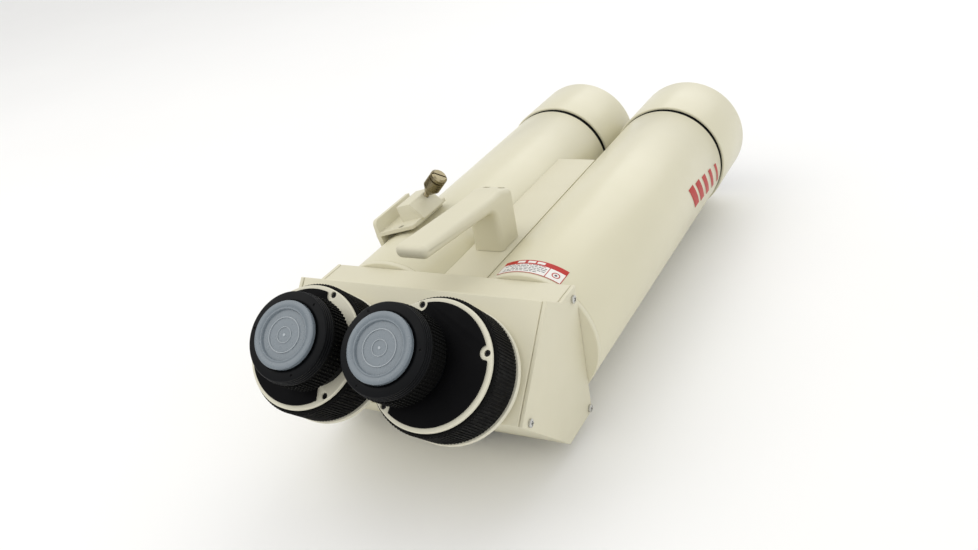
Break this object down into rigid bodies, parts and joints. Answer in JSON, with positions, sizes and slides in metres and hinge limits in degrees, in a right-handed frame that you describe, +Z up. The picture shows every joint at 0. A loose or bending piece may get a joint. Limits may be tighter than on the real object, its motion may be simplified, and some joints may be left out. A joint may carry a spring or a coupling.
{
  "type": "astronomy binoculars",
  "caption": "Large astronomy binoculars: twin refractor tubes on a prism housing with angled, turning eyepiece turrets, carry handle, finder shoe and mounting bar.",
  "frame": {"origin": "middle of the mounting bar's flat underside", "axes": "+Y along the tubes towards the sky, +Z up, +X to the observer's right"},
  "size_m": [0.1928, 0.4907, 0.1418],
  "materials": {
    "cream_paint": "satin ivory powder coat",
    "tube_paint": "semi-gloss ivory enamel",
    "black_anodised": "satin black anodised aluminium",
    "ribbed_black": "fine ribbed black grip",
    "matte_black": "fine-grained matt black",
    "clear_plastic": "frosted translucent polythene",
    "bright_screws": "bright zinc-plated",
    "nickel": "warm nickel, knurled",
    "optical_glass": "polished and coated"
  },
  "bodies": {
    "chassis": {"prism_housing": "cream_paint", "side_cover_left": "cream_paint", "cover_screw_left_top": "bright_screws", "cover_screw_left_nose": "bright_screws", "cover_screw_left_bottom": "bright_screws", "erecting_prism_left": "optical_glass", "prism_bracket_left": "black_anodised", "tube_adapter_left": "cream_paint", "objective_tube_left": "tube_paint", "tube_baffle_left": "matte_black", "objective_cell_left": "black_anodised", "flint_lens_left": "optical_glass", "crown_lens_left": "optical_glass", "lens_retaining_ring_left": "black_anodised", "dew_shield_left": "tube_paint", "turret_flange_left": "cream_paint", "turret_washer_left": "matte_black", "handle_screw_left": "bright_screws", "side_cover_right": "cream_paint", "cover_screw_right_top": "bright_screws", "cover_screw_right_nose": "bright_screws", "cover_screw_right_bottom": "bright_screws", "erecting_prism_right": "optical_glass", "prism_bracket_right": "black_anodised", "tube_adapter_right": "cream_paint", "objective_tube_right": "tube_paint", "tube_baffle_right": "matte_black", "objective_cell_right": "black_anodised", "flint_lens_right": "optical_glass", "crown_lens_right": "optical_glass", "lens_retaining_ring_right": "black_anodised", "dew_shield_right": "tube_paint", "turret_flange_right": "cream_paint", "turret_washer_right": "matte_black", "handle_screw_right": "bright_screws", "bridge_plate": "cream_paint", "carry_handle": "cream_paint", "mounting_block": "cream_paint", "mounting_bar": "black_anodised", "bar_screw_rear": "bright_screws", "bar_screw_front": "bright_screws", "finder_shoe": "cream_paint"},
    "turret_left": {"turret_drum_left": "ribbed_black", "turret_plate_left": "cream_paint", "turret_cover_left": "matte_black", "offset_prism_left": "optical_glass", "focuser_base_left": "black_anodised"},
    "focus_ring_left": {"focus_ring_left": "ribbed_black"},
    "eyepiece_seat_left": {"eyepiece_seat_left": "black_anodised"},
    "dust_cap_left": {"dust_cap_left": "clear_plastic"},
    "turret_right": {"turret_drum_right": "ribbed_black", "turret_plate_right": "cream_paint", "turret_cover_right": "matte_black", "offset_prism_right": "optical_glass", "focuser_base_right": "black_anodised"},
    "focus_ring_right": {"focus_ring_right": "ribbed_black"},
    "eyepiece_seat_right": {"eyepiece_seat_right": "black_anodised"},
    "dust_cap_right": {"dust_cap_right": "clear_plastic"},
    "finder_screw_shank": {"finder_screw_shank": "bright_screws"},
    "finder_screw_knob": {"finder_screw_knob": "nickel"}
  },
  "joints": [
    {"name": "turret_turn_left", "type": "hinge", "parent": "chassis", "child": "turret_left", "pos_m": [-0.0419, -0.1314, 0.0762], "axis": [0, -0.7071, 0.7071], "range_deg": [-70, 70]},
    {"name": "focus_turn_left", "type": "hinge", "parent": "turret_left", "child": "focus_ring_left", "pos_m": [-0.0307, -0.1314, 0.0762], "axis": [0, -0.7071, 0.7071], "range_deg": [0, 320]},
    {"name": "focus_travel_left", "type": "slide", "parent": "turret_left", "child": "eyepiece_seat_left", "axis": [0, -0.7071, 0.7071], "range_m": [0, 0.008]},
    {"name": "cap_pull_left", "type": "slide", "parent": "eyepiece_seat_left", "child": "dust_cap_left", "axis": [0, -0.7071, 0.7071], "range_m": [0, 0.02]},
    {"name": "turret_turn_right", "type": "hinge", "parent": "chassis", "child": "turret_right", "pos_m": [0.0419, -0.1314, 0.0762], "axis": [0, -0.7071, 0.7071], "range_deg": [-70, 70]},
    {"name": "focus_turn_right", "type": "hinge", "parent": "turret_right", "child": "focus_ring_right", "pos_m": [0.0307, -0.1314, 0.0762], "axis": [0, -0.7071, 0.7071], "range_deg": [0, 320]},
    {"name": "focus_travel_right", "type": "slide", "parent": "turret_right", "child": "eyepiece_seat_right", "axis": [0, -0.7071, 0.7071], "range_m": [0, 0.008]},
    {"name": "cap_pull_right", "type": "slide", "parent": "eyepiece_seat_right", "child": "dust_cap_right", "axis": [0, -0.7071, 0.7071], "range_m": [0, 0.02]},
    {"name": "finder_screw_travel", "type": "slide", "parent": "chassis", "child": "finder_screw_shank", "axis": [0.682, 0, 0.7314], "range_m": [0, 0.0028]},
    {"name": "finder_screw_turn", "type": "hinge", "parent": "finder_screw_shank", "child": "finder_screw_knob", "pos_m": [-0.05589, 0.018, 0.1172], "axis": [0.682, 0, 0.7314], "range_deg": [0, 1440]}
  ],
  "couplings": [
    {"joint": "focus_turn_left", "follows": "focus_travel_left", "rad_per_m": 698.13},
    {"joint": "focus_turn_right", "follows": "focus_travel_right", "rad_per_m": 698.13},
    {"joint": "finder_screw_turn", "follows": "finder_screw_travel", "rad_per_m": 8976}
  ]
}
